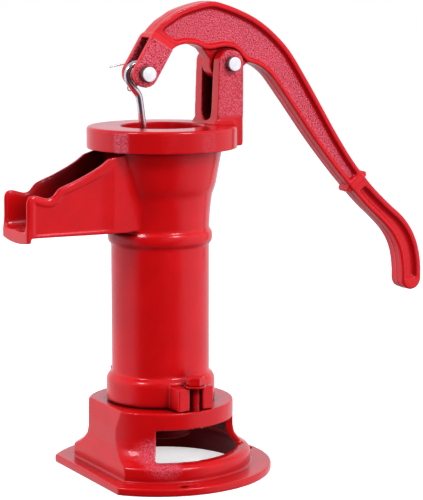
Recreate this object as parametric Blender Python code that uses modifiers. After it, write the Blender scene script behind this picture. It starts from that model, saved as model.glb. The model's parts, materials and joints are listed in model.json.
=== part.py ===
"""Hand well pump: a cast-iron pitcher pump with a 76 mm bore.

Units are metres and +Z is up. Shapes are drawn about the pump's own axis, and the
empty "pump_axis" carries them so that the origin is below the middle of the pump.
The handle points along +X and the spout along -X. The handle rests on its lower stop.
"""
from math import cos, pi, radians, sin

import bmesh
import bpy
from mathutils import Matrix, Vector

# ---------------------------------------------------------------- driving dimensions
AXIS_X = -0.0687          # pump axis, measured from the object's origin
GAP = 0.0003              # clearance between touching pieces

# base
BASE_R = 0.0656           # wall and top plate
BASE_TOP = 0.0654
PLATE_UNDER = 0.050       # underside of the top plate
FLANGE_R = 0.1003
FLANGE_T = 0.0071
FLANGE_FLAT_X = -0.0761   # straight edge of the flange below the spout
STEP_R = 0.0815           # raised step that the flange grows from
STEP_TOP = 0.0185
BOSS_R = 0.028            # suction boss
BOSS_UNDER = 0.033
SUCTION_R = 0.016
WINDOW_LOW = 0.0225
WINDOW_ANGLES = (27.5, 121.5)      # one window on each side, in degrees from +X
FIXING_R = 0.0915
FIXING_HOLE_R = 0.004
FIXING_ANGLES = (0.0, 105.0, 255.0)

# body
BORE_R = 0.038
TUBE_R = 0.044
COLLAR_R = 0.049
BODY_LOW = BASE_TOP + GAP
BODY_TOP = 0.3031
LUG_ANGLE = 2.7           # the two lugs are turned a little off the Y axis, degrees
LUG_TOP = 0.0865
LUG_OUT = 0.0625
BOLT_RADIUS = 0.0605      # where the base bolts stand
BOLT_R = 0.004

# spout
SPOUT_FRONT_X = -0.1412
SPOUT_HALF_FRONT = 0.0267
SPOUT_HALF_ROOT = 0.0290
SPOUT_WALL = 0.0053
SPOUT_UNDER = 0.2238
SPOUT_FLOOR = 0.2280

# cap
CAP_R = 0.0671
CAP_SHIFT = 0.0023        # the ring's outside is cast a little towards the post
CAP_LOW = 0.2934
CAP_TOP = 0.3130
CAP_OPENING_R = 0.037
CAP_RECESS_R = 0.0571     # turns on the rim of the body
POST_HALF = 0.0220
POST_BACK_X = 0.0735
SLOT_HALF = 0.0098
SLOT_FLOOR = 0.316
SET_SCREW_ANGLE = 75.0    # holds the cap where it is turned, on the +Y side
SET_SCREW_Z = 0.2985

# handle linkage
PIVOT = Vector((0.0612, 0.0, 0.3670))
ROD_PIN = Vector((-0.0194, 0.0, 0.3597))
FOOT = Vector((0.0, 0.0, 0.1900))
ROD_LINE = (Vector((-0.0202, 0.0, 0.3400)) - FOOT).normalized()
PIN_R = 0.004
EAR_R = 0.0125
HUB_R = 0.0145
RELIEF_R = 0.017          # the handle's rims clear the ears by this arc
HANDLE_HALF = 0.01025
WEB_HALF = 0.0070
RIM = 0.0034
FORK_HALF = 0.0130
FORK_R = 0.0112
FORK_SLOT_HALF = 0.0074
FORK_DIR = Vector((0.525, 0.0, 0.851)).normalized()
ROD_R = 0.00325
EYE_CENTRE = Vector((-0.0210, 0.0, 0.3580))
EYE_R = 0.0104            # to the middle of the bent wire

# plunger, at the top of its stroke
FOLLOWER_LOW = 0.144
CUP_R = 0.0377
CAGE_R = 0.033
SEAT_TOP = 0.158
CROSSBAR_LOW = 0.186
CROSSBAR_TOP = 0.194
FOOT_PLAY = 0.0035        # free play of the rod's foot above and below the crossbar

# foot valve
LEATHER_T = 0.0020
FLAP_HINGE_X = -0.0249    # the free end of the flap's tongue


# ---------------------------------------------------------------- scene and materials
def clear_scene():
    for old in list(bpy.data.objects):
        bpy.data.objects.remove(old, do_unlink=True)


def new_collection(name):
    group = bpy.data.collections.new(name)
    bpy.context.scene.collection.children.link(group)
    return group


def new_material(name, colour, roughness, metallic):
    mat = bpy.data.materials.new(name)
    mat.use_nodes = True
    shader = mat.node_tree.nodes["Principled BSDF"]
    shader.inputs["Base Color"].default_value = (*colour, 1.0)
    shader.inputs["Roughness"].default_value = roughness
    shader.inputs["Metallic"].default_value = metallic
    return mat


clear_scene()
PARTS = new_collection("hand_well_pump")
CUTTERS = new_collection("cutters")
AXIS = bpy.data.objects.new("pump_axis", None)
AXIS.location = (AXIS_X, 0.0, 0.0)
PARTS.objects.link(AXIS)

RED_BODY = new_material("red_enamel_body", (0.55, 0.010, 0.014), 0.28, 0.0)
RED_BASE = new_material("red_enamel_base", (0.52, 0.010, 0.014), 0.32, 0.0)
RED_CAP = new_material("red_enamel_cap", (0.56, 0.012, 0.018), 0.34, 0.0)
RED_HANDLE = new_material("red_enamel_handle", (0.58, 0.014, 0.022), 0.36, 0.0)
RED_BOLT = new_material("red_enamel_bolt", (0.50, 0.010, 0.014), 0.30, 0.0)
ZINC = new_material("zinc_steel", (0.72, 0.73, 0.74), 0.25, 1.0)
IRON = new_material("bare_iron", (0.20, 0.20, 0.20), 0.55, 1.0)
LEATHER = new_material("oiled_leather", (0.22, 0.11, 0.05), 0.75, 0.0)


# ---------------------------------------------------------------- mesh helpers
def mesh_object(name, mesh, mat, origin=(0.0, 0.0, 0.0), cutter=False):
    """Wrap a mesh drawn about the pump axis, with its origin moved to a joint."""
    mesh.transform(Matrix.Translation(-Vector(origin)))
    obj = bpy.data.objects.new(name, mesh)
    obj.parent = AXIS
    obj.location = origin
    if mat:
        mesh.materials.append(mat)
    if cutter:
        CUTTERS.objects.link(obj)
        obj.hide_render = True
        obj.display_type = "WIRE"
    else:
        PARTS.objects.link(obj)
        mesh.shade_smooth()
        mesh.set_sharp_from_angle(angle=radians(35))
    return obj


def turned(name, profile, mat=None, steps=40, at=(0.0, 0.0, 0.0), closed=True, **place):
    """Screw a profile about the vertical line through at. It runs down its outer side."""
    points = [(radius, 0.0, z) for radius, z in profile]
    edges = [(i, i + 1) for i in range(len(points) - 1)]
    if closed:
        edges.append((len(points) - 1, 0))
    mesh = bpy.data.meshes.new(name)
    mesh.from_pydata(points, edges, [])
    seed = bpy.data.objects.new(name + "_seed", mesh)
    bpy.context.scene.collection.objects.link(seed)
    screw = seed.modifiers.new("turn", "SCREW")
    screw.axis = "Z"
    screw.steps = steps
    screw.render_steps = steps
    screw.use_merge_vertices = True
    screw.merge_threshold = 0.00001
    solid = evaluated_mesh(seed)
    solid.name = name
    solid.transform(Matrix.Translation(Vector(at)))
    return mesh_object(name, solid, mat, **place)


def evaluated_mesh(obj):
    """Freeze an object's curve or modifiers into one welded mesh and remove it."""
    bpy.context.view_layer.update()
    graph = bpy.context.evaluated_depsgraph_get()
    mesh = bpy.data.meshes.new_from_object(obj.evaluated_get(graph))
    bpy.data.objects.remove(obj, do_unlink=True)
    build = bmesh.new()
    build.from_mesh(mesh)
    bmesh.ops.remove_doubles(build, verts=build.verts, dist=0.000005)
    bmesh.ops.recalc_face_normals(build, faces=build.faces)
    build.to_mesh(mesh)
    build.free()
    return mesh


def plate(name, outline, half, mat=None, centre_y=0.0, **place):
    """A flat outline in the XZ plane, as thick as twice half."""
    curve = bpy.data.curves.new(name, "CURVE")
    curve.dimensions = "2D"
    curve.fill_mode = "BOTH"
    curve.extrude = half
    spline = curve.splines.new("POLY")
    spline.points.add(len(outline) - 1)
    for point, (x, z) in zip(spline.points, outline):
        point.co = (x, z, 0.0, 1.0)
    spline.use_cyclic_u = True
    seed = bpy.data.objects.new(name + "_seed", curve)
    bpy.context.scene.collection.objects.link(seed)
    solid = evaluated_mesh(seed)
    solid.name = name
    solid.transform(Matrix.Translation((0.0, centre_y, 0.0)) @ Matrix.Rotation(pi / 2, 4, "X"))
    return mesh_object(name, solid, mat, **place)


def block(name, low, high, mat=None, turn=0.0, **place):
    """A box between two corners, turned about the pump axis by some degrees."""
    size = Vector(high) - Vector(low)
    centre = (Vector(high) + Vector(low)) / 2
    build = bmesh.new()
    bmesh.ops.create_cube(build, size=1.0, matrix=Matrix.Diagonal((*size, 1.0)))
    bmesh.ops.translate(build, verts=build.verts, vec=centre)
    mesh = bpy.data.meshes.new(name)
    build.to_mesh(mesh)
    build.free()
    mesh.transform(Matrix.Rotation(radians(turn), 4, "Z"))
    return mesh_object(name, mesh, mat, **place)


def rod_between(name, start, end, radius, mat=None, sides=20, **place):
    """A round bar between two points."""
    start, end = Vector(start), Vector(end)
    along = end - start
    build = bmesh.new()
    bmesh.ops.create_cone(build, cap_ends=True, segments=sides, radius1=radius, radius2=radius,
                          depth=along.length)
    mesh = bpy.data.meshes.new(name)
    build.to_mesh(mesh)
    build.free()
    turn = along.to_track_quat("Z", "Y").to_matrix().to_4x4()
    mesh.transform(Matrix.Translation((start + end) / 2) @ turn)
    return mesh_object(name, mesh, mat, **place)


def wire(name, points, radius, mat=None, **place):
    """A bent wire along a list of points."""
    curve = bpy.data.curves.new(name, "CURVE")
    curve.dimensions = "3D"
    curve.bevel_depth = radius
    curve.bevel_resolution = 2
    curve.use_fill_caps = True
    spline = curve.splines.new("POLY")
    spline.points.add(len(points) - 1)
    for point, place_at in zip(spline.points, points):
        point.co = (*place_at, 1.0)
    seed = bpy.data.objects.new(name + "_seed", curve)
    bpy.context.scene.collection.objects.link(seed)
    solid = evaluated_mesh(seed)
    solid.name = name
    return mesh_object(name, solid, mat, **place)


def boolean(obj, operand, operation, solver="EXACT"):
    """Join, cut or intersect, keeping the modifier on the object."""
    step = obj.modifiers.new(operation.lower() + "_" + operand.name, "BOOLEAN")
    step.operation = operation
    step.solver = solver
    step.object = operand


def join(obj, *operands, solver="EXACT"):
    for operand in operands:
        boolean(obj, operand, "UNION", solver)


def cut(obj, *operands, solver="EXACT"):
    for operand in operands:
        boolean(obj, operand, "DIFFERENCE", solver)


# ---------------------------------------------------------------- outline helpers
def arc(centre, radius, start, end, count):
    """Points on an arc in the XZ plane, from start to end degrees."""
    turns = [radians(start + (end - start) * i / (count - 1)) for i in range(count)]
    return [(centre[0] + radius * cos(a), centre[-1] + radius * sin(a)) for a in turns]


def smooth(points, steps=3):
    """A Catmull-Rom curve through the points."""
    out = []
    for i in range(len(points) - 1):
        before = Vector(points[max(i - 1, 0)])
        here = Vector(points[i])
        there = Vector(points[i + 1])
        after = Vector(points[min(i + 2, len(points) - 1)])
        for k in range(steps):
            t = k / steps
            spot = 0.5 * (2 * here + (there - before) * t
                          + (2 * before - 5 * here + 4 * there - after) * t * t
                          + (3 * here - before - 3 * there + after) * t ** 3)
            out.append(tuple(spot))
    out.append(tuple(points[-1]))
    return out


def inset(points, distance):
    """Move an open outline sideways, to the right of its direction when distance is positive."""
    out = []
    for i, point in enumerate(points):
        ahead = Vector(points[min(i + 1, len(points) - 1)])
        behind = Vector(points[max(i - 1, 0)])
        along = (ahead - behind).normalized()
        out.append((point[0] + along.y * distance, point[1] - along.x * distance))
    return out


def polar(radius, degrees, z):
    return (radius * cos(radians(degrees)), radius * sin(radians(degrees)), z)


# ---------------------------------------------------------------- base
def flat_side():
    """Everything in front of the base's flat side."""
    outline = [(-0.14, 0.09), (-0.0558, 0.09), (-0.0560, BASE_TOP + 0.003), (-0.0594, 0.0493),
               (-0.0596, 0.033), (-0.0612, 0.026), (-0.0632, STEP_TOP + 0.0004),
               (-0.0632, FLANGE_T + 0.0002), (FLANGE_FLAT_X, FLANGE_T + 0.0002),
               (FLANGE_FLAT_X, -0.01), (-0.14, -0.01)]
    return plate("base_flat", outline, 0.12, cutter=True)


def flat_wall():
    """The same side as seen from the hollow, one wall thickness further in."""
    outline = [(-0.14, 0.09), (-0.0520, 0.09), (-0.0532, 0.0310), (-0.0560, 0.0200),
               (-0.0565, -0.01), (-0.14, -0.01)]
    return plate("hollow_flat", outline, 0.11, cutter=True)


def make_base():
    outside = [(0.0, BASE_TOP), (BASE_R, BASE_TOP), (BASE_R, 0.040), (0.0670, 0.0325),
               (0.0705, 0.0275), (0.0745, 0.0235), (STEP_R, STEP_TOP), (STEP_R, FLANGE_T),
               (FLANGE_R, FLANGE_T), (FLANGE_R, 0.0), (0.0, 0.0)]
    inside = [(0.0, PLATE_UNDER), (0.058, PLATE_UNDER), (0.058, 0.037), (0.0605, 0.0305),
              (0.066, 0.0245), (0.0745, 0.0140), (0.0745, -0.002), (0.0, -0.002)]
    base = turned("base_foot", outside, RED_BASE, steps=44, closed=False)
    hollow = turned("base_hollow", inside, steps=44, closed=False, cutter=True)
    cut(hollow, flat_wall())
    cut(base, flat_side(), hollow)
    join(base, rod_between("boss", (0, 0, BOSS_UNDER), (0, 0, PLATE_UNDER + 0.002), BOSS_R,
                           sides=36, cutter=True))
    cut(base, rod_between("suction_hole", (0, 0, 0.02), (0, 0, 0.08), SUCTION_R, sides=28,
                          cutter=True), solver="MANIFOLD")
    for side in (-1, 1):
        cut(base, window_cutter("window_%s" % ("near" if side < 0 else "far"), side),
            solver="MANIFOLD")
    for number, degrees in enumerate(FIXING_ANGLES, 1):
        low = Vector(polar(FIXING_R, degrees, -0.01))
        cut(base, rod_between("fixing_hole_%d" % number, low, low + Vector((0, 0, 0.03)),
                              FIXING_HOLE_R, sides=16, cutter=True), solver="MANIFOLD")
    for side in (-1, 1):
        low = Vector(polar(BOLT_RADIUS, side * 90 + LUG_ANGLE, 0.04))
        cut(base, rod_between("tapped_hole_%d" % (side + 2), low, low + Vector((0, 0, 0.05)),
                              BOLT_R + GAP, sides=16, cutter=True), solver="MANIFOLD")
    return base


def window_cutter(name, side):
    """A wedge through the wall, from the hollow outwards."""
    start, end = WINDOW_ANGLES
    rim = [polar(0.1, start + (end - start) * i / 8, 0.0)[:2] for i in range(9)]
    inner = [polar(0.032, end + (start - end) * i / 4, 0.0)[:2] for i in range(5)]
    outline = [(x, side * y) for x, y in rim + inner]
    wedge = plate(name, outline, (PLATE_UNDER - WINDOW_LOW) / 2, cutter=True)
    wedge.data.transform(Matrix.Rotation(-pi / 2, 4, "X"))
    wedge.data.transform(Matrix.Translation((0, 0, (PLATE_UNDER + WINDOW_LOW) / 2)))
    return wedge


# ---------------------------------------------------------------- body
def make_body():
    outside = [(0.0563, BODY_TOP), (0.0563, 0.2925), (0.0548, 0.2880), (0.0495, 0.2585),
               (0.0467, 0.2530), (0.0448, 0.2360), (TUBE_R, 0.2215), (0.0464, 0.2193),
               (0.0472, 0.2146), (0.0464, 0.2099), (TUBE_R, 0.2077), (TUBE_R, 0.0915),
               (0.0472, 0.0893), (COLLAR_R, 0.0855), (COLLAR_R, BODY_LOW)]
    inside = [(BORE_R, BODY_LOW), (BORE_R, 0.203), (0.0395, 0.222),
              (0.0415, 0.250), (0.0448, 0.259), (0.0494, 0.287), (0.0503, BODY_TOP)]
    body = turned("pump_body", outside + inside, RED_BODY, steps=40)
    bore = turned("body_bore", [(0.0, 0.292), (0.0497, 0.292), (0.0494, 0.287), (0.0448, 0.259),
                                (0.0415, 0.250), (0.0395, 0.222), (0.0384, 0.210), (0.0, 0.210)],
                  steps=40, closed=False, cutter=True)
    spout = spout_solid()
    cut(spout, bore)
    join(body, spout)
    cut(body, spout_channel())
    for side in (-1, 1):
        turn = LUG_ANGLE + (0.0 if side < 0 else 180.0)
        lug = block("lug_%d" % (side + 2), (-0.0178, -LUG_OUT, BODY_LOW),
                    (0.0178, -0.0405, LUG_TOP), turn=turn, cutter=True)
        slot = block("lug_slot_%d" % (side + 2), (-0.0062, -0.08, 0.05),
                     (0.0062, -0.0535, 0.10), turn=turn, cutter=True)
        cut(lug, slot)
        join(body, lug)
    cut(body, rod_between("leather_seat", (0, 0, 0.05), (0, 0, BODY_LOW + LEATHER_T + GAP), 0.0470,
                          sides=40, cutter=True))
    return body


def widen_to_root(obj):
    """Spread a spout shape evenly from its front width to its root width."""
    for vertex in obj.data.vertices:
        reach = (vertex.co.x - SPOUT_FRONT_X) / -SPOUT_FRONT_X
        vertex.co.y *= 1 + (SPOUT_HALF_ROOT / SPOUT_HALF_FRONT - 1) * min(max(reach, 0.0), 1.0)


def spout_solid():
    top = smooth([(-0.0520, 0.2912), (-0.0628, 0.2884), (-0.0732, 0.2812), (-0.0890, 0.2742),
                  (-0.1010, 0.2697), (-0.1085, 0.2672), (-0.1130, 0.2643), (-0.1165, 0.2592),
                  (-0.1205, 0.2579), (-0.1265, 0.2597), (-0.1320, 0.2614), (-0.1368, 0.2612),
                  (-0.1400, 0.2588), (SPOUT_FRONT_X, 0.2545)], steps=2)
    outline = [(-0.0400, 0.2912)] + top
    outline += [(SPOUT_FRONT_X, 0.2198), (-0.1372, 0.2198), (-0.1368, SPOUT_UNDER),
                (-0.0400, SPOUT_UNDER - 0.0006)]
    spout = plate("spout", outline, SPOUT_HALF_FRONT, cutter=True)
    widen_to_root(spout)
    return spout


def spout_channel():
    """The open channel, from the lip through the wall of the bowl."""
    half = SPOUT_HALF_FRONT - SPOUT_WALL
    channel = block("channel", (-0.16, -half, SPOUT_FLOOR), (-0.036, half, 0.2922), cutter=True)
    widen_to_root(channel)
    for vertex in channel.data.vertices:
        if vertex.co.z < 0.25 and vertex.co.x > -0.1:
            vertex.co.z += 0.004
    round_edges(channel, 0.004, 3)
    return channel


def round_edges(obj, width, segments):
    bevel = obj.modifiers.new("rounded", "BEVEL")
    bevel.width = width
    bevel.segments = segments
    bevel.limit_method = "ANGLE"
    bevel.angle_limit = radians(50)


# ---------------------------------------------------------------- base leather and foot valve
def make_foot_valve():
    low = BASE_TOP + GAP
    top = low + LEATHER_T
    turned("base_leather", [(0.0467, top), (0.0467, low), (0.0262, low), (0.0262, top)],
           LEATHER, steps=32)
    hinge = (FLAP_HINGE_X, 0.0, low)
    flap = rod_between("foot_valve_flap", (0, 0, low), (0, 0, top), 0.0205, LEATHER, sides=28,
                       origin=hinge)
    tongue = block("flap_tongue", (FLAP_HINGE_X, -0.006, low), (-0.010, 0.006, top), cutter=True,
                   origin=hinge)
    join(flap, tongue)
    cut(flap, rod_between("flap_hole", (0, 0, 0.05), (0, 0, 0.08), 0.0029, sides=12, cutter=True))
    base_z = top + GAP
    turned("foot_valve_weight", [(0.0105, base_z + 0.0075), (0.0130, base_z + 0.0055),
                                 (0.0130, base_z), (0.0029, base_z), (0.0029, base_z + 0.0075)],
           IRON, steps=24, origin=hinge)
    head = base_z + 0.0075 + GAP
    turned("foot_valve_screw", [(0.0, head + 0.0022), (0.0035, head + 0.0019), (0.0048, head),
                                (0.0025, head), (0.0025, low - 0.0012), (0.0, low - 0.0012)],
           ZINC, steps=16, closed=False, origin=hinge)


def make_base_bolts():
    head = [(0.0, 0.0070), (0.0070, 0.0070), (0.0083, 0.0062), (0.0083, 0.0), (BOLT_R, 0.0),
            (BOLT_R, -0.0350), (0.0034, -0.0358), (0.0, -0.0358)]
    washer = [(0.0098, 0.0016), (0.0098, 0.0), (BOLT_R + GAP, 0.0), (BOLT_R + GAP, 0.0016)]
    for number, side in ((1, -1), (2, 1)):
        spot = polar(BOLT_RADIUS, side * 90 + LUG_ANGLE, LUG_TOP + GAP)
        turned("base_washer_%d" % number, washer, RED_BOLT, steps=24, at=spot, origin=spot)
        seat = (spot[0], spot[1], spot[2] + 0.0016 + GAP)
        bolt = turned("base_bolt_%d" % number, head, RED_BOLT, steps=24, at=seat, closed=False,
                      origin=seat)
        hexagon = rod_between("bolt_hex_%d" % number, (seat[0], seat[1], seat[2] - 0.05),
                              (seat[0], seat[1], seat[2] + 0.02), 0.0083, sides=6, cutter=True,
                              origin=seat)
        boolean(bolt, hexagon, "INTERSECT")


# ---------------------------------------------------------------- cap and post
def make_cap():
    shift = (CAP_SHIFT, 0.0, 0.0)
    ring = [(0.0, CAP_TOP), (CAP_R - 0.0030, CAP_TOP), (CAP_R - 0.0010, CAP_TOP - 0.0010),
            (CAP_R, CAP_TOP - 0.0030), (CAP_R, CAP_LOW + 0.0006), (CAP_R - 0.0006, CAP_LOW),
            (0.0, CAP_LOW)]
    cap = turned("pump_cap", ring, RED_CAP, steps=44, at=shift, closed=False)
    ear_top = arc(PIVOT, EAR_R, 168.0, 0.0, 9)
    outline = [(0.0465, CAP_LOW), (0.0467, CAP_TOP)] + ear_top
    outline += [(POST_BACK_X, CAP_LOW + 0.0015), (POST_BACK_X - 0.0015, CAP_LOW)]
    post = plate("post", outline, POST_HALF, cutter=True)
    round_edges(post, 0.0015, 1)
    cut(post, post_slot())
    join(cap, post)
    cut(cap, turned("cap_recess", [(0.0, CAP_TOP - 0.0095), (CAP_RECESS_R, CAP_TOP - 0.0095),
                                   (CAP_RECESS_R, 0.28), (0.0, 0.28)], steps=44, closed=False,
                    cutter=True))
    opening = rod_between("cap_hole", (CAP_SHIFT, 0, 0.28), (CAP_SHIFT, 0, 0.33), CAP_OPENING_R,
                          sides=40, cutter=True)
    pin_hole = rod_between("post_pin_hole", (PIVOT.x, -0.04, PIVOT.z), (PIVOT.x, 0.04, PIVOT.z),
                           PIN_R + GAP, sides=16, cutter=True)
    screw_hole = rod_between("set_screw_hole", polar(0.050, SET_SCREW_ANGLE, SET_SCREW_Z),
                             polar(0.080, SET_SCREW_ANGLE, SET_SCREW_Z), 0.0043, sides=16,
                             cutter=True)
    cut(cap, opening, pin_hole, screw_hole)
    return cap


def post_slot():
    """The slot between the two ears, closed at the back up to the handle's stop."""
    rounded = arc((0.0, SLOT_FLOOR + 0.009), 0.009, 180.0, 360.0, 9)
    outline = rounded + [(SLOT_HALF + 0.0008, 0.40), (-SLOT_HALF - 0.0008, 0.40)]
    slot = plate("post_slot", outline, 0.020, cutter=True)
    slot.data.transform(Matrix.Rotation(pi / 2, 4, "Z"))
    slot.data.transform(Matrix.Translation((PIVOT.x, 0, 0)))
    stop = block("slot_back", (POST_BACK_X - 0.0033, -0.03, 0.30),
                 (POST_BACK_X + 0.02, 0.03, PIVOT.z - 0.0120), cutter=True)
    cut(slot, stop)
    return slot


def make_set_screw():
    inner = Vector(polar(0.0567, SET_SCREW_ANGLE, SET_SCREW_Z))
    outer = Vector(polar(0.0705, SET_SCREW_ANGLE, SET_SCREW_Z))
    tip = Vector(polar(0.0775, SET_SCREW_ANGLE, SET_SCREW_Z))
    screw = rod_between("cap_set_screw", inner, outer + (tip - outer) * 0.2, 0.0040, ZINC,
                        sides=16)
    head = rod_between("set_screw_head", outer, tip, 0.0058, sides=4, cutter=True)
    join(screw, head)
    return screw


# ---------------------------------------------------------------- handle
def upper_contour():
    return smooth([(-0.0132, 0.3911), (-0.0085, 0.3974), (-0.0005, 0.4049), (0.0075, 0.4097),
                   (0.0156, 0.4143), (0.0317, 0.4194), (0.0480, 0.4222), (0.0616, 0.4194),
                   (0.0780, 0.4136), (0.0947, 0.4056), (0.1115, 0.3937), (0.1287, 0.3769),
                   (0.1460, 0.3523), (0.1638, 0.3248), (0.1815, 0.2971), (0.2001, 0.2711),
                   (0.2200, 0.2485), (0.2412, 0.2290), (0.2562, 0.2165), (0.2663, 0.2043),
                   (0.2727, 0.1922), (0.2763, 0.1803), (0.2782, 0.1680), (0.2786, 0.1552)], 2)


def lower_contour():
    before = smooth([(0.0060, 0.3787), (0.0133, 0.3832), (0.0228, 0.3850), (0.0325, 0.3841),
                     (0.0395, 0.3803), (0.0448, 0.3776)], 2)
    around = arc(PIVOT, RELIEF_R, 138.0, 24.0, 10)
    after = smooth([(0.0800, 0.3715), (0.0880, 0.3680), (0.0965, 0.3643), (0.1040, 0.3590),
                    (0.1124, 0.3511), (0.1300, 0.3285), (0.1564, 0.2939), (0.1810, 0.2645),
                    (0.1975, 0.2465), (0.2151, 0.2283), (0.2290, 0.2159), (0.2418, 0.2034),
                    (0.2502, 0.1912), (0.2546, 0.1791), (0.2568, 0.1650), (0.2570, 0.1540)], 2)
    return before + around + after


def trim(points, low_x, high_x):
    return [point for point in points if low_x <= point[0] <= high_x]


def recess(name, low_x, high_x, side):
    """One shallow recess in the handle's side, following both contours inside the rims."""
    top = trim(inset(upper_contour(), RIM), low_x, high_x)
    bottom = trim(inset(lower_contour(), -RIM), low_x, high_x)
    outline = top + bottom[::-1]
    depth = HANDLE_HALF - WEB_HALF + 0.002
    return plate(name, outline, depth / 2, centre_y=side * (WEB_HALF + depth / 2), cutter=True)


def make_handle():
    end_centre = ((0.2786 + 0.2570) / 2, 0.1548)
    end = arc(end_centre, 0.0108, -15.0, -165.0, 7)
    outline = upper_contour() + end + lower_contour()[::-1]
    handle = plate("handle", outline, HANDLE_HALF, RED_HANDLE, origin=PIVOT)
    for side, label in ((-1, "near"), (1, "far")):
        cut(handle, recess("web_" + label, 0.010, 0.1850, side))
        cut(handle, recess("grip_web_" + label, 0.2180, 0.2740, side))
    join(handle, fork_block(), handle_hub(), handle_band())
    cut(handle, fork_slot())
    cut(handle, rod_between("hub_hole", (PIVOT.x, -0.02, PIVOT.z), (PIVOT.x, 0.02, PIVOT.z),
                            PIN_R + GAP, sides=16, cutter=True))
    cut(handle, rod_between("fork_hole", (ROD_PIN.x, -0.02, ROD_PIN.z),
                            (ROD_PIN.x, 0.02, ROD_PIN.z), PIN_R + GAP, sides=16, cutter=True))
    return handle


def along_fork(distance, across):
    """A point measured from the rod pin, up the fork and across it."""
    spot = ROD_PIN + FORK_DIR * distance + Vector((FORK_DIR.z, 0, -FORK_DIR.x)) * across
    return (spot.x, spot.z)


def fork_block():
    lean = 90.0 - 31.67
    outline = [along_fork(0.0335, FORK_R)] + arc(ROD_PIN, FORK_R, lean - 90.0, lean - 270.0, 13)
    outline += [along_fork(0.0330, -FORK_R)]
    fork = plate("fork_block", outline, FORK_HALF, cutter=True)
    round_edges(fork, 0.0012, 1)
    return fork


def fork_slot():
    outline = [along_fork(-0.02, -0.02), along_fork(-0.02, 0.02), along_fork(0.030, 0.02),
               along_fork(0.030, -0.02)]
    return plate("fork_slot", outline, FORK_SLOT_HALF, cutter=True)


def handle_hub():
    """The thin hub between the ears, with the heel that rests on the post's back web."""
    px, pz = PIVOT.x, PIVOT.z
    outline = [(0.0345, 0.3893), (0.0360, 0.3828), (0.0400, 0.3800), (0.0437, 0.3755)]
    outline += arc(PIVOT, HUB_R, 165.0, 300.0, 12)
    outline += [(px + 0.0090, pz - 0.0117), (px + 0.0140, pz - 0.0117), (px + 0.0175, pz - 0.0060),
                (0.0884, 0.3684), (0.0886, 0.3871)]
    return plate("hub", outline, WEB_HALF + 0.0005, cutter=True)


def handle_band():
    """The raised band across the arm."""
    across = Vector((0.766, 0.0, 0.643))
    centre = Vector((0.2052, 0.0, 0.2520))
    band = block("band", (-0.0155, -0.0112, -0.0040), (0.0155, 0.0112, 0.0040), cutter=True)
    band.data.transform(Matrix.Rotation(-across.xz.angle_signed(Vector((1, 0))), 4, "Y"))
    band.data.transform(Matrix.Translation(centre))
    round_edges(band, 0.0015, 2)
    return band


# ---------------------------------------------------------------- pins
def make_pin(name, centre, half, cotter_name, head_r, parent_origin):
    """A headed clevis pin with its head towards -Y and a cotter at the far end."""
    head_in = -half - GAP
    pin = rod_between(name, (centre.x, head_in - 0.0005, centre.z),
                      (centre.x, half + 0.0068, centre.z), PIN_R, ZINC, sides=16,
                      origin=parent_origin)
    head = rod_between(name + "_head", (centre.x, head_in - 0.0040, centre.z),
                       (centre.x, head_in, centre.z), head_r, sides=24, cutter=True,
                       origin=parent_origin)
    round_edges(head, 0.0008, 1)
    join(pin, head)
    hole_y = half + 0.0034
    tilt = Vector((-0.45, 0.0, 0.89)).normalized()
    middle = Vector((centre.x, hole_y, centre.z))
    cut(pin, rod_between(name + "_cross_hole", middle - tilt * 0.01, middle + tilt * 0.01, 0.0015,
                         sides=10, cutter=True, origin=parent_origin))
    ring = [middle + tilt * (0.0075 - 0.0026 * cos(a)) + tilt.cross(Vector((0, 1, 0)))
            * 0.0026 * sin(a) for a in [radians(20 + 29 * i) for i in range(12)]]
    leg = [middle - tilt * 0.0095 + Vector((0, 0.0035, 0)), middle - tilt * 0.0072,
           middle - tilt * 0.0060, middle, middle + tilt * 0.0042]
    wire(cotter_name, leg + ring, 0.0009, ZINC, origin=parent_origin)


# ---------------------------------------------------------------- rod and its foot
def make_rod():
    low = FOOT - ROD_LINE * (CROSSBAR_TOP - FOOT.z + FOOT_PLAY + 0.0082)
    eye = [EYE_CENTRE + EYE_R * Vector((cos(radians(a)), 0, sin(radians(a))))
           for a in range(212, -59, -15)]
    neck = smooth([tuple((FOOT + ROD_LINE * 0.1440).xz), (-0.0213, 0.3400), (-0.0258, 0.3462),
                   tuple(eye[0].xz)], 3)[:-1]
    points = [low] + [Vector((x, 0.0, z)) for x, z in neck] + eye
    wire("piston_rod", points, ROD_R, ZINC, origin=ROD_PIN)
    hexagon_ring("rod_jam_nut", CROSSBAR_TOP - FOOT.z + FOOT_PLAY, 0.0040, 0.0064)
    washer_low = -(FOOT.z - CROSSBAR_LOW + FOOT_PLAY + 0.0015)
    rod_ring("rod_foot_washer", washer_low, 0.0015, 0.0080, 24)
    hexagon_ring("rod_foot_nut", washer_low - 0.0050 - GAP, 0.0050, 0.0064)


def rod_ring(name, start, height, outer, sides):
    """A ring on the rod, measured up the rod's line from its foot."""
    inner = (ROD_R + GAP) / cos(pi / sides)
    ring = turned(name, [(outer, height), (outer, 0.0), (inner, 0.0), (inner, height)], ZINC,
                  steps=sides)
    ring.data.transform(ROD_LINE.to_track_quat("Z", "Y").to_matrix().to_4x4())
    ring.data.transform(Matrix.Translation(FOOT + ROD_LINE * start - ROD_PIN))
    ring.location = ROD_PIN
    return ring


def hexagon_ring(name, start, height, corner_radius):
    return rod_ring(name, start, height, corner_radius, 6)


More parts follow.
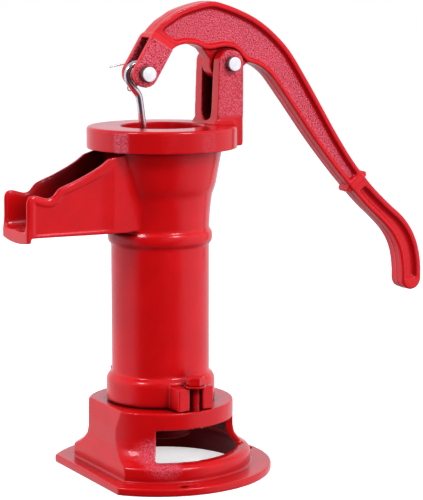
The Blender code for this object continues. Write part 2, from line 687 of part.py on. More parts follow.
# ---------------------------------------------------------------- plunger
def make_plunger():
    cage_low = FOLLOWER_LOW + 0.0130
    cage = turned("plunger_cage", [(CAGE_R, cage_low + 0.0045), (CAGE_R, cage_low),
                                   (0.0172, cage_low), (0.0172, cage_low + 0.0045)], IRON, steps=32)
    outline = [(-0.0250, cage_low + 0.002), (-0.0250, CROSSBAR_TOP - 0.004),
               (-0.0210, CROSSBAR_TOP), (0.0210, CROSSBAR_TOP), (0.0250, CROSSBAR_TOP - 0.004),
               (0.0250, cage_low + 0.002), (0.0198, cage_low + 0.002), (0.0198, CROSSBAR_LOW),
               (-0.0198, CROSSBAR_LOW), (-0.0198, cage_low + 0.002)]
    stirrup = plate("stirrup", outline, 0.0130, cutter=True)
    stirrup.data.transform(Matrix.Rotation(pi / 2, 4, "Z"))
    join(cage, stirrup)
    slot_half = ROD_R + 0.0062
    cut(cage, block("rod_slot", (-slot_half, -ROD_R - 0.0007, 0.18),
                    (slot_half, ROD_R + 0.0007, 0.20), cutter=True))
    leather_low = FOLLOWER_LOW + 0.0095
    lip = leather_low + 0.0145
    turned("cup_leather", [(CUP_R, lip), (CUP_R, leather_low), (0.0170, leather_low),
                           (0.0170, leather_low + 0.0030), (0.0350, leather_low + 0.0030),
                           (0.0350, lip)], LEATHER, steps=40)
    turned("plunger_follower", [(0.0167, SEAT_TOP), (0.0167, FOLLOWER_LOW + 0.0092),
                                (0.0340, FOLLOWER_LOW + 0.0092), (0.0340, FOLLOWER_LOW + 0.001),
                                (0.0330, FOLLOWER_LOW), (0.0120, FOLLOWER_LOW),
                                (0.0120, SEAT_TOP)], IRON, steps=32)
    seat = SEAT_TOP + GAP
    turned("poppet_valve", [(0.0, seat + 0.0044), (0.0120, seat + 0.0044), (0.0150, seat + 0.0024),
                            (0.0150, seat), (0.0060, seat), (0.0060, seat - 0.0100),
                            (0.0, seat - 0.0100)], IRON, steps=24, closed=False)


# ---------------------------------------------------------------- build
make_base()
make_body()
make_foot_valve()
make_base_bolts()
make_cap()
make_set_screw()
make_handle()
make_pin("handle_pin", PIVOT, POST_HALF, "handle_pin_cotter", 0.0060, PIVOT)
make_pin("rod_pin", ROD_PIN, FORK_HALF, "rod_pin_cotter", 0.0064, PIVOT)
make_rod()
make_plunger()
bpy.context.view_layer.update()
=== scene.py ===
"""Looks for the hand well pump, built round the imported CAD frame.

Shapes are drawn in millimetres about the pump's own axis, with +X towards the handle's
grip, and are then placed in the frame. Castings are drawn as sharp solids, skinned at
a fine pitch and relaxed, so that every edge and corner is rounded as enamelled cast iron is.
"""
import json
from math import cos, pi, radians, sin

import bmesh
import bpy
import numpy as np
from mathutils import Matrix, Vector

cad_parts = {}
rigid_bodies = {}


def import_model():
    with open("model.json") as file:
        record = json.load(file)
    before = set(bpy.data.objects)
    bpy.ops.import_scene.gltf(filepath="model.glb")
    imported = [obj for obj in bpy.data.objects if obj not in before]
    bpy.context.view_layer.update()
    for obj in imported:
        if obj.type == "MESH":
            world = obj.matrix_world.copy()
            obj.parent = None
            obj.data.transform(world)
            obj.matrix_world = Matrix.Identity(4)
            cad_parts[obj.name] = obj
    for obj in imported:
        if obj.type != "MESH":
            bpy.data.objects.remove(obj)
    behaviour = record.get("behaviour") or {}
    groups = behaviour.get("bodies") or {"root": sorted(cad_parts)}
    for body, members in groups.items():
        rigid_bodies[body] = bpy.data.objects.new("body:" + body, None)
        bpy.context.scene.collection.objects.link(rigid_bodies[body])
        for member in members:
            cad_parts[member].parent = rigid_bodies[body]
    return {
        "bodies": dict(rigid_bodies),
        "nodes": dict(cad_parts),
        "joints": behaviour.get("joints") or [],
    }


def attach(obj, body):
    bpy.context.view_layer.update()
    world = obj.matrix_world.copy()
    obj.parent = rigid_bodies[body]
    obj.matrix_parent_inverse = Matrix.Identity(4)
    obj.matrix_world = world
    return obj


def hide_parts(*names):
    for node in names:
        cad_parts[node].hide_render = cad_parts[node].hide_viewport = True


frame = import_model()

OWN = set(frame["nodes"].values()) | set(frame["bodies"].values())
for stray in [obj for obj in bpy.data.objects if obj not in OWN]:
    bpy.data.objects.remove(stray, do_unlink=True)
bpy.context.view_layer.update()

# ---------------------------------------------------------------- places from the frame
MM = 0.001
JOINTS = {joint["name"]: joint for joint in frame["joints"]}
AXIS_X = JOINTS["cap_swivel"]["pos_m"][0]
TO_ROW = Matrix.Translation((AXIS_X, 0, 0)) @ Matrix.Scale(MM, 4)


def joint_spot(name):
    """A joint's place in the XZ plane, in millimetres from the pump axis."""
    x, _, z = JOINTS[name]["pos_m"]
    return ((x - AXIS_X) / MM, z / MM)


PIVOT = joint_spot("handle_pivot")
ROD_PIN = joint_spot("rod_swing")

# ---------------------------------------------------------------- sizes, in millimetres
BASE_R, BASE_TOP, PLATE_UNDER = 65.6, 65.4, 50.0
FLANGE_R, FLANGE_T, FLANGE_FLAT_X = 100.3, 7.1, -76.1
STEP_R, STEP_TOP = 81.5, 18.5
BOSS_R, BOSS_UNDER, SUCTION_R = 28.0, 33.0, 16.0
WINDOW_LOW, WINDOW_ANGLES = 22.5, (27.5, 121.5)
FIXING_R, FIXING_HOLE_R, FIXING_ANGLES = 91.5, 4.0, (0.0, 105.0, 255.0)
BORE_R, TUBE_R, COLLAR_R = 38.0, 44.0, 49.0
BODY_LOW, BODY_TOP = 65.7, 303.1
LUG_ANGLE, LUG_TOP, LUG_OUT, BOLT_RADIUS, BOLT_R = 2.7, 86.5, 62.5, 60.5, 4.0
SPOUT_FRONT_X, SPOUT_HALF, SPOUT_ROOT_HALF, SPOUT_WALL = -141.2, 26.7, 29.0, 5.3
SPOUT_UNDER, SPOUT_FLOOR = 223.8, 228.0
CAP_R, CAP_SHIFT, CAP_LOW, CAP_TOP = 67.1, 2.3, 293.4, 313.0
CAP_OPENING_R, CAP_RECESS_R, CAP_ROOF = 37.0, 57.1, 9.5
POST_HALF, POST_BACK_X, SLOT_HALF, SLOT_FLOOR = 22.0, 73.5, 9.8, 316.0
EAR_R, HUB_R, PIN_R = 12.5, 14.5, 4.0
HANDLE_HALF, WEB_HALF, RIM, WEB_SINK = 10.25, 7.0, 3.4, 3.6
FORK_HALF, FORK_R, FORK_SLOT_HALF = 13.0, 11.9, 7.4
FORK_DIR = Vector((0.525, 0.851)).normalized()
FORK_LEAN = 58.33           # degrees from level
ARM_DIR = Vector((0.643, -0.766))
BAND_CENTRE = Vector((205.2, 252.0))
ROD_R, EYE_CENTRE, EYE_R, ROD_FOOT_Z = 3.25, (-21.0, 358.0), 10.4, 190.0
PIN_HEAD_HEIGHT, COTTER_R = 6.2, 0.7
WASHER_R, WASHER_T = 9.8, 1.6
THREAD_LENGTH, THREAD_PITCH, THREAD_DEPTH = 34.0, 1.25, 0.62
SET_SCREW_ANGLE, SET_SCREW_Z, SET_SCREW_R = 75.0, 298.5, 4.0
GRIP_RIM = 4.0
GAP = 0.3


# ---------------------------------------------------------------- drawing solids
def mesh_from(build, name="shape"):
    bmesh.ops.recalc_face_normals(build, faces=build.faces)
    mesh = bpy.data.meshes.new(name)
    build.to_mesh(mesh)
    build.free()
    return mesh


def turned(profile, steps=180, centre=(0.0, 0.0)):
    """Turn a profile of (radius, z) about a vertical line. Its ends lie on the axis or meet."""
    build = bmesh.new()
    angles = [2 * pi * k / steps for k in range(steps)]
    x, y = centre
    rings = []
    for radius, z in profile:
        if radius < 1e-6:
            rings.append([build.verts.new((x, y, z))] * steps)
        else:
            rings.append([build.verts.new((x + radius * cos(a), y + radius * sin(a), z))
                          for a in angles])
    if profile[0][0] > 1e-6:
        rings.append(rings[0])
    for upper, lower in zip(rings, rings[1:]):
        for k in range(steps):
            corners = [upper[k], upper[k - 1], lower[k - 1], lower[k]]
            face = list(dict.fromkeys(corners))
            if len(face) > 2:
                build.faces.new(face)
    return mesh_from(build)


def slab(outline, low, high, axis="Y"):
    """A flat outline as a solid between two depths. The outline is (x, z) for a slab along Y
    and (x, y) for one along Z."""
    build = bmesh.new()
    ends = []
    for depth in (low, high):
        if axis == "Y":
            ends.append([build.verts.new((u, depth, v)) for u, v in outline])
        else:
            ends.append([build.verts.new((u, v, depth)) for u, v in outline])
    build.faces.new(ends[0])
    build.faces.new(ends[1])
    count = len(outline)
    for k in range(count):
        build.faces.new([ends[0][k], ends[0][k - 1], ends[1][k - 1], ends[1][k]])
    return mesh_from(build)


def plate(outline, half):
    return slab(outline, -half, half)


def block(low, high):
    (x0, y0, z0), (x1, y1, z1) = low, high
    return slab([(x0, z0), (x1, z0), (x1, z1), (x0, z1)], y0, y1)


def cylinder(start, end, radius, sides=48, end_radius=None):
    start, end = Vector(start), Vector(end)
    build = bmesh.new()
    bmesh.ops.create_cone(build, cap_ends=True, segments=sides, radius1=radius,
                          radius2=radius if end_radius is None else end_radius,
                          depth=(end - start).length)
    turn = (end - start).to_track_quat("Z", "Y").to_matrix().to_4x4()
    bmesh.ops.transform(build, matrix=Matrix.Translation((start + end) / 2) @ turn,
                        verts=build.verts)
    return mesh_from(build)


def wire(points, radius, sides=5):
    """A round bent wire with closed ends, through points in millimetres."""
    curve = bpy.data.curves.new("wire", "CURVE")
    curve.dimensions = "3D"
    curve.bevel_depth = radius
    curve.bevel_resolution = sides
    curve.use_fill_caps = True
    spline = curve.splines.new("POLY")
    spline.points.add(len(points) - 1)
    for point, spot in zip(spline.points, points):
        point.co = (*spot, 1.0)
    return evaluated(new_object("wire", curve), weld=0.001)


def new_object(name, data):
    obj = bpy.data.objects.new(name, data)
    bpy.context.scene.collection.objects.link(obj)
    return obj


def evaluated(obj, weld=0.0):
    """Freeze an object's modifiers into one mesh and remove the object."""
    bpy.context.view_layer.update()
    graph = bpy.context.evaluated_depsgraph_get()
    mesh = bpy.data.meshes.new_from_object(obj.evaluated_get(graph))
    bpy.data.objects.remove(obj, do_unlink=True)
    if weld:
        build = bmesh.new()
        build.from_mesh(mesh)
        bmesh.ops.remove_doubles(build, verts=build.verts, dist=weld)
        bmesh.ops.recalc_face_normals(build, faces=build.faces)
        build.to_mesh(mesh)
        build.free()
    return mesh


def combined(mesh, steps):
    """Join and cut solids in order. Each step is (Boolean operation, mesh)."""
    obj = new_object("solid", mesh)
    helpers = []
    for operation, operand in steps:
        helper = new_object("operand", operand)
        helpers.append(helper)
        modifier = obj.modifiers.new("step", "BOOLEAN")
        modifier.operation = operation
        modifier.solver = "MANIFOLD"
        modifier.object = helper
    result = evaluated(obj)
    for helper in helpers:
        bpy.data.objects.remove(helper, do_unlink=True)
    return result


def pin_hole(spot):
    """A cutter for a pin's hole, through a part from side to side."""
    x, z = spot
    return cylinder((x, -40, z), (x, 40, z), PIN_R + GAP)


def spun(mesh, degrees):
    """Turn a mesh about the pump axis."""
    mesh.transform(Matrix.Rotation(radians(degrees), 4, "Z"))
    return mesh


def across_y(mesh):
    """Turn a slab of (x, z) outline and Y depth into one of (-y, z) outline and X depth."""
    mesh.transform(Matrix.Rotation(-pi / 2, 4, "Z"))
    return mesh


# ---------------------------------------------------------------- outlines
def arc(centre, radius, start, end, count):
    angles = [radians(start + (end - start) * k / (count - 1)) for k in range(count)]
    return [(centre[0] + radius * cos(a), centre[1] + radius * sin(a)) for a in angles]


def polar(radius, degrees, z=None):
    spot = (radius * cos(radians(degrees)), radius * sin(radians(degrees)))
    return spot if z is None else (*spot, z)


def smooth(points, steps=4):
    """A Catmull-Rom curve through the points."""
    out = []
    for i in range(len(points) - 1):
        before, here = Vector(points[max(i - 1, 0)]), Vector(points[i])
        there, after = Vector(points[i + 1]), Vector(points[min(i + 2, len(points) - 1)])
        for k in range(steps):
            t = k / steps
            out.append(tuple(0.5 * (2 * here + (there - before) * t
                                    + (2 * before - 5 * here + 4 * there - after) * t * t
                                    + (3 * here - before - 3 * there + after) * t ** 3)))
    return out + [tuple(points[-1])]


def inset(points, distance):
    """Shift an open line sideways, to its right for a positive distance."""
    out = []
    for i, point in enumerate(points):
        along = Vector(points[min(i + 1, len(points) - 1)]) - Vector(points[max(i - 1, 0)])
        along.normalize()
        out.append((point[0] + along.y * distance, point[1] - along.x * distance))
    return out


def filleted(points, radius, count=5):
    """Round every inner corner of an open line where the radius fits."""
    out = [tuple(points[0])]
    for before, here, after in zip(points, points[1:], points[2:]):
        back, on = Vector(before) - Vector(here), Vector(after) - Vector(here)
        reach = min(radius, 0.45 * back.length, 0.45 * on.length)
        start = Vector(here) + back.normalized() * reach
        end = Vector(here) + on.normalized() * reach
        for k in range(count):
            t = k / (count - 1)
            out.append(tuple((1 - t) ** 2 * start + 2 * t * (1 - t) * Vector(here) + t * t * end))
    return out + [tuple(points[-1])]


def outline_distance(points, outline):
    """Signed distance of many points to a closed outline, negative inside."""
    best = np.full(len(points), 1e9)
    inside = np.zeros(len(points), bool)
    corners = np.array(outline, float)
    for a, b in zip(corners, np.roll(corners, -1, axis=0)):
        along = b - a
        length = float(along @ along)
        if length < 1e-12:
            continue
        t = np.clip(((points - a) @ along) / length, 0, 1)
        best = np.minimum(best, np.hypot(*(points - a - t[:, None] * along).T))
        if abs(along[1]) > 1e-12:
            crosses = (a[1] > points[:, 1]) != (b[1] > points[:, 1])
            at = a[0] + along[0] * (points[:, 1] - a[1]) / along[1]
            inside ^= crosses & (points[:, 0] < at)
    return np.where(inside, -best, best)


def ramp(value, low, high):
    """0 below low, 1 above high and smooth in between."""
    t = np.clip((value - low) / (high - low), 0, 1)
    return t * t * (3 - 2 * t)


# ---------------------------------------------------------------- skinning and relaxing
def vertices_of(mesh):
    co = np.empty(len(mesh.vertices) * 3)
    mesh.vertices.foreach_get("co", co)
    return co.reshape(-1, 3)


def normals_of(mesh):
    normal = np.empty(len(mesh.vertices) * 3)
    mesh.vertices.foreach_get("normal", normal)
    return normal.reshape(-1, 3)


def set_vertices(mesh, co):
    mesh.vertices.foreach_set("co", co.astype(np.float32).ravel())
    mesh.update()


def relax(mesh, rounds, weight=None):
    """Move each vertex towards the middle of its neighbours, as far as weight says."""
    co = vertices_of(mesh)
    edges = np.empty(len(mesh.edges) * 2, int)
    mesh.edges.foreach_get("vertices", edges)
    a, b = edges.reshape(-1, 2).T
    count = np.bincount(np.concatenate([a, b]), minlength=len(co)).clip(1)
    factor = 0.5 * (np.ones(len(co)) if weight is None else weight)[:, None]
    for _ in range(rounds):
        total = np.stack([np.bincount(a, co[b, k], len(co)) + np.bincount(b, co[a, k], len(co))
                          for k in range(3)], axis=1)
        co += factor * (total / count[:, None] - co)
    set_vertices(mesh, co)


def clouds(size, depth=2):
    texture = bpy.data.textures.new("clouds", "CLOUDS")
    texture.noise_scale = size
    texture.noise_depth = depth
    texture.noise_basis = "ORIGINAL_PERLIN"
    return texture


def casting(mesh, pitch, rounds, soften=(), sculpt=None, ripple=0.16, share=0.4):
    """Skin a sharp solid, round it, sculpt it, and give it the slight waviness of sand casting.
    soften holds (rounds, weight function) pairs for wider fillets. share is the part of the
    faces that is kept."""
    obj = new_object("skin", mesh)
    skin = obj.modifiers.new("skin", "REMESH")
    skin.mode = "VOXEL"
    skin.voxel_size = pitch
    skinned = evaluated(obj)
    relax(skinned, rounds)
    for more, weight in soften:
        relax(skinned, more, weight(vertices_of(skinned)))
    if sculpt:
        co, normal = vertices_of(skinned), normals_of(skinned)
        set_vertices(skinned, sculpt(co, normal))
        relax(skinned, 2)
    obj = new_object("wavy", skinned)
    for size, depth in ((26.0, ripple), (7.0, ripple * 0.35)):
        wave = obj.modifiers.new("wave", "DISPLACE")
        wave.texture = clouds(size)
        wave.strength = depth
        wave.mid_level = 0.5
    thin = obj.modifiers.new("thin", "DECIMATE")
    thin.ratio = share
    return evaluated(obj)


def piece(name, mesh, body, materials, nodes=(), smooth_angle=None):
    """Place a finished mesh in the frame, on its body, in place of its CAD nodes."""
    mesh.name = name
    mesh.transform(TO_ROW)
    mesh.materials.clear()
    for material in materials:
        mesh.materials.append(material)
    mesh.shade_smooth()
    if smooth_angle is not None:
        mesh.set_sharp_from_angle(angle=radians(smooth_angle))
    obj = new_object(name, mesh)
    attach(obj, body)
    if nodes:
        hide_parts(*nodes)
    return obj


def paint_map(obj, name, function):
    """Store a value for each vertex, from its place in millimetres about the pump axis."""
    co = (vertices_of(obj.data) - np.array([AXIS_X, 0, 0])) / MM
    layer = obj.data.attributes.new(name, "FLOAT", "POINT")
    layer.data.foreach_set("value", function(co, normals_of(obj.data)).astype(np.float32))


# ---------------------------------------------------------------- materials
class Nodes:
    """A short way to write a node tree."""

    def __init__(self, name):
        self.material = bpy.data.materials.new(name)
        self.material.use_nodes = True
        self.tree = self.material.node_tree
        self.shader = self.tree.nodes["Principled BSDF"]

    def add(self, kind, **settings):
        node = self.tree.nodes.new("ShaderNode" + kind)
        for key, value in settings.items():
            setattr(node, key, value)
        return node

    def link(self, source, target):
        self.tree.links.new(source, target)

    def place(self):
        """Position in the row frame, in metres."""
        return self.add("TexCoord").outputs["Object"]

    def noise(self, scale, detail=2.0, rough=0.5, distortion=0.0, at=None):
        node = self.add("TexNoise")
        self.link(at or self.place(), node.inputs["Vector"])
        for key, value in (("Scale", scale), ("Detail", detail), ("Roughness", rough),
                           ("Distortion", distortion)):
            node.inputs[key].default_value = value
        return node.outputs["Fac"]

    def steps(self, value, low, high, smooth_steps=True, most=1.0):
        """Map a value from low..high to 0..most."""
        node = self.add("MapRange")
        node.interpolation_type = "SMOOTHSTEP" if smooth_steps else "LINEAR"
        self.link(value, node.inputs["Value"])
        node.inputs["From Min"].default_value = low
        node.inputs["From Max"].default_value = high
        node.inputs["To Max"].default_value = most
        return node.outputs["Result"]

    def math(self, operation, first, second):
        node = self.add("Math", operation=operation)
        for socket, value in zip(node.inputs, (first, second)):
            if isinstance(value, (int, float)):
                socket.default_value = value
            else:
                self.link(value, socket)
        return node.outputs["Value"]

    def mix(self, factor, first, second):
        """Blend two colours."""
        node = self.add("Mix", data_type="RGBA")
        sockets = (node.inputs[0], node.inputs[6], node.inputs[7])
        for socket, value in zip(sockets, (factor, first, second)):
            if isinstance(value, tuple):
                socket.default_value = (*value, 1.0)
            elif isinstance(value, (int, float)):
                socket.default_value = value
            else:
                self.link(value, socket)
        return node.outputs[2]

    def bump(self, height, distance, strength=1.0, under=None):
        node = self.add("Bump")
        node.inputs["Distance"].default_value = distance
        if isinstance(strength, (int, float)):
            node.inputs["Strength"].default_value = strength
        else:
            self.link(strength, node.inputs["Strength"])
        self.link(height, node.inputs["Height"])
        if under:
            self.link(under, node.inputs["Normal"])
        return node.outputs["Normal"]

    def attribute(self, name):
        return self.add("Attribute", attribute_name=name).outputs["Fac"]

    def recess(self, distance):
        """1 in the open and towards 0 in narrow corners."""
        node = self.add("AmbientOcclusion", samples=8)
        node.inputs["Distance"].default_value = distance
        return node.outputs["AO"]


def enamel(name, bright, deep, roughness, grain_floor):
    """Red enamel over cast iron, with painted shade that darkens it in corners and recesses, and
    an orange-peel surface.
    The map "grain" says where the sand grain of the casting shows, and where its specks are
    lightened as a painted glint;
    the map "inside" says where painted shade darkens the red and the coat is rougher and less
    glossy."""
    n = Nodes(name)
    # Painted shade: ambient occlusion mixes corners and recesses towards the deep red.
    hollow = n.math("MULTIPLY", n.steps(n.recess(0.008), 0.25, 0.90),
                    n.steps(n.recess(0.045), 0.18, 0.84))
    cloud = n.steps(n.noise(38.0, 3.0, 0.55), 0.32, 0.72)
    tone = n.mix(cloud, tuple(0.90 * c for c in bright), bright)
    sand = n.noise(900.0, 2.0, 0.6)
    coarse = n.noise(480.0, 1.0, 0.5)
    grain = n.math("MAXIMUM", n.attribute("grain"), grain_floor)
    # Painted highlight: where the grain shows, its specks are mixed towards a pale pink as glints
    # of light.
    painted_glint = n.math("MULTIPLY", n.steps(sand, 0.38, 0.62), n.steps(grain, 0.10, 0.95))
    glint_lightened = n.mix(n.math("MULTIPLY", painted_glint, 0.66), tone, (0.82, 0.20, 0.30))
    pits = n.math("MULTIPLY", n.steps(sand, 0.43, 0.30), n.math("MULTIPLY", grain, 0.75))
    speckled = n.mix(pits, glint_lightened, deep)
    painted_corner_shade = n.mix(hollow, deep, speckled)
    # Painted shade: where the map "inside" says, the red is mixed towards a much darker red.
    painted_shade_red = tuple(0.22 * c for c in deep)
    inside = n.attribute("inside")
    n.link(n.mix(inside, painted_corner_shade, painted_shade_red), n.shader.inputs["Base Color"])
    uneven = n.math("MULTIPLY", n.noise(90.0, 3.0), 0.10)
    matt = n.math("ADD", n.math("MULTIPLY", grain, 0.06), n.math("MULTIPLY", inside, 0.30))
    n.link(n.math("ADD", n.math("ADD", uneven, matt), roughness - 0.05),
           n.shader.inputs["Roughness"])
    peel = n.bump(n.noise(150.0, 2.0), 0.0006, 0.16)
    rough_sand = n.bump(n.math("ADD", sand, coarse), 0.0016, grain, peel)
    n.link(rough_sand, n.shader.inputs["Normal"])
    n.link(n.steps(inside, 1.25, 0.0, False, 0.22), n.shader.inputs["Specular IOR Level"])
    n.link(n.steps(inside, 1.10, 0.0, False, 0.26), n.shader.inputs["Coat Weight"])
    n.shader.inputs["Specular Tint"].default_value = (1.0, 0.94, 1.18, 1.0)
    n.shader.inputs["Coat Roughness"].default_value = 0.05
    return n.material


def plated(name, metallic=1.0, roughness=0.12):
    """Zinc plate over drawn steel, with a few dull patches. The less metallic, the whiter."""
    n = Nodes(name)
    n.shader.inputs["Metallic"].default_value = metallic
    haze = n.steps(n.noise(160.0, 4.0, 0.6), 0.35, 0.70)
    n.link(n.mix(haze, (0.78, 0.79, 0.83), (0.90, 0.91, 0.93)), n.shader.inputs["Base Color"])
    worn = n.math("MULTIPLY", n.noise(420.0, 4.0, 0.6), 0.14)
    n.link(n.math("ADD", worn, roughness), n.shader.inputs["Roughness"])
    n.link(n.bump(n.noise(900.0, 3.0, 0.6), 0.0002, 0.12), n.shader.inputs["Normal"])
    return n.material


def bare_iron(name):
    """Machined and cast iron under a film of oil, with rust beginning in the pits."""
    n = Nodes(name)
    n.shader.inputs["Metallic"].default_value = 0.85
    rust = n.steps(n.noise(130.0, 5.0, 0.65, 0.4), 0.55, 0.72)
    iron = n.mix(n.noise(500.0, 4.0, 0.6), (0.16, 0.155, 0.15), (0.30, 0.295, 0.29))
    n.link(n.mix(rust, iron, (0.16, 0.055, 0.022)), n.shader.inputs["Base Color"])
    n.link(n.math("ADD", n.math("MULTIPLY", rust, 0.30), 0.38), n.shader.inputs["Roughness"])
    n.link(n.bump(n.noise(1100.0, 3.0, 0.6), 0.0004, 0.35), n.shader.inputs["Normal"])
    return n.material


def oiled_leather(name):
    """Thick vegetable-tanned leather, soaked dark, with its grain and cut edges."""
    n = Nodes(name)
    cell = n.add("TexVoronoi", feature="DISTANCE_TO_EDGE")
    cell.inputs["Scale"].default_value = 900.0
    n.link(n.place(), cell.inputs["Vector"])
    crease = n.steps(cell.outputs["Distance"], 0.0, 0.12)
    stain = n.steps(n.noise(70.0, 4.0, 0.6), 0.3, 0.7)
    hide = n.mix(stain, (0.11, 0.048, 0.020), (0.20, 0.095, 0.042))
    n.link(n.mix(crease, (0.06, 0.026, 0.012), hide), n.shader.inputs["Base Color"])
    n.link(n.math("ADD", n.math("MULTIPLY", stain, 0.15), 0.55), n.shader.inputs["Roughness"])
    n.link(n.bump(crease, 0.0003, 0.4), n.shader.inputs["Normal"])
    return n.material


BRIGHT_RED, DEEP_RED = (0.60, 0.0036, 0.0050), (0.13, 0.0005, 0.0014)
ENAMEL_BODY = enamel("enamel_body", BRIGHT_RED, DEEP_RED, 0.24, 0.03)
ENAMEL_BASE = enamel("enamel_base", (0.57, 0.0034, 0.0046), DEEP_RED, 0.25, 0.04)
ENAMEL_CAP = enamel("enamel_cap", (0.54, 0.0034, 0.0050), DEEP_RED, 0.24, 0.04)
ENAMEL_HANDLE = enamel("enamel_handle", (0.62, 0.0052, 0.0090), DEEP_RED, 0.25, 0.05)
ENAMEL_BOLT = enamel("enamel_bolt", (0.56, 0.0038, 0.0052), DEEP_RED, 0.22, 0.05)
ZINC = plated("zinc_plate")
SATIN_ZINC = plated("satin_zinc_plate", 0.35, 0.40)
# Dark steel for the pin heads' sides, as painted shade.
HEAD_SHADE_STEEL = bare_iron("head_shade_steel")
IRON = bare_iron("oily_iron")
LEATHER = oiled_leather("oiled_leather")


# ---------------------------------------------------------------- base
def make_base():
    outside = filleted([(0, BASE_TOP), (BASE_R, BASE_TOP), (BASE_R, 40.0), (67.0, 32.5),
                        (70.5, 27.5), (74.5, 23.5), (80.2, 20.2), (STEP_R, STEP_TOP),
                        (STEP_R, FLANGE_T), (FLANGE_R, FLANGE_T), (FLANGE_R, 0), (0, 0)], 1.2, 3)
    hollow = [(0, PLATE_UNDER), (58, PLATE_UNDER), (58, 37), (60.5, 30.5), (66, 24.5),
              (72.5, 17.5), (74.5, 10), (74.5, -2), (0, -2)]
    front = [(-140, 90), (-55.8, 90), (-56.0, BASE_TOP + 3), (-59.4, 49.3), (-59.6, 33.0),
             (-61.2, 26.0), (-63.2, STEP_TOP + 0.4), (-63.2, FLANGE_T + 0.2),
             (FLANGE_FLAT_X, FLANGE_T + 0.2), (FLANGE_FLAT_X, -10), (-140, -10)]
    wall = [(-140, 90), (-52.0, 90), (-53.2, 31), (-56.0, 20), (-56.5, -10), (-140, -10)]
    inside = combined(turned(hollow), [("DIFFERENCE", plate(wall, 110))])
    steps = [("DIFFERENCE", plate(front, 120)), ("DIFFERENCE", inside),
             ("UNION", cylinder((0, 0, BOSS_UNDER), (0, 0, PLATE_UNDER + 2), BOSS_R, 96)),
             ("DIFFERENCE", cylinder((0, 0, 20), (0, 0, 80), SUCTION_R, 96))]
    steps += [("DIFFERENCE", window(side)) for side in (-1, 1)]
    for degrees in FIXING_ANGLES:
        steps.append(("DIFFERENCE", cylinder(polar(FIXING_R, degrees, -10),
                                             polar(FIXING_R, degrees, 20), FIXING_HOLE_R)))
    for side in (-1, 1):
        spot = side * 90 + LUG_ANGLE
        steps.append(("DIFFERENCE", cylinder(polar(BOLT_RADIUS, spot, 40),
                                             polar(BOLT_RADIUS, spot, 90), BOLT_R + GAP)))
    solid = combined(turned(outside), steps)

    def above_flange(co):
        """Wider fillets where the round wall meets the step, not at the flat side's edges."""
        x, _, z = co.T
        return ramp(z, 12, 20) * (1 - ramp(z, 38, 46)) * ramp(x, -50, -36)

    mesh = casting(solid, 0.7, 5, soften=[(14, above_flange)], ripple=0.22, share=0.30)
    base = piece("base_casting", mesh, "root", [ENAMEL_BASE], ["base_foot"])

    def grain(co, normal):
        """Rough round the windows' lower corners beside the flat side."""
        x, y, z = co.T
        patch = 1 - ramp(np.hypot(x + 34, z - 27), 9, 24)
        return np.where(y < 0, 0.6, 0.4) * patch

    def inside(co, normal):
        """Painted shade in the hollow under the base plate."""
        x, y, z = co.T
        wall_r = np.interp(z, [0, 10, 18, 27, 37], [74.5, 74.5, 72.5, 63, 58])
        wall = 1 - ramp(np.hypot(x, y) - wall_r, 0, 1.5)
        return 0.85 * wall * (1 - ramp(z, 51, 52)) * (x > -57.5)

    paint_map(base, "grain", grain)
    paint_map(base, "inside", inside)
    return base


def window(side):
    """A wedge through the wall, from the hollow outwards."""
    start, end = WINDOW_ANGLES
    rim = [polar(100, start + (end - start) * k / 12) for k in range(13)]
    inner = [polar(32, end + (start - end) * k / 6) for k in range(7)]
    outline = [(x, side * y) for x, y in rim + inner]
    return slab(outline, WINDOW_LOW, PLATE_UNDER, "Z")


# ---------------------------------------------------------------- body
SPOUT_TOP = smooth([(-62.8, 288.4), (-73.2, 281.2), (-89.0, 274.2), (-101.0, 269.7),
                    (-108.5, 267.2), (-113.0, 264.3), (-116.5, 259.2), (-120.5, 257.9),
                    (-126.5, 259.7), (-132.0, 261.4), (-136.8, 261.2), (-140.0, 258.8),
                    (SPOUT_FRONT_X, 254.5)])


def spout_half(x):
    """Half the spout's width at some x."""
    share = np.clip((x - SPOUT_FRONT_X) / -SPOUT_FRONT_X, 0, 1)
    return SPOUT_HALF + (SPOUT_ROOT_HALF - SPOUT_HALF) * share


def widened(mesh):
    co = vertices_of(mesh)
    co[:, 1] *= spout_half(co[:, 0]) / SPOUT_HALF
    set_vertices(mesh, co)
    return mesh


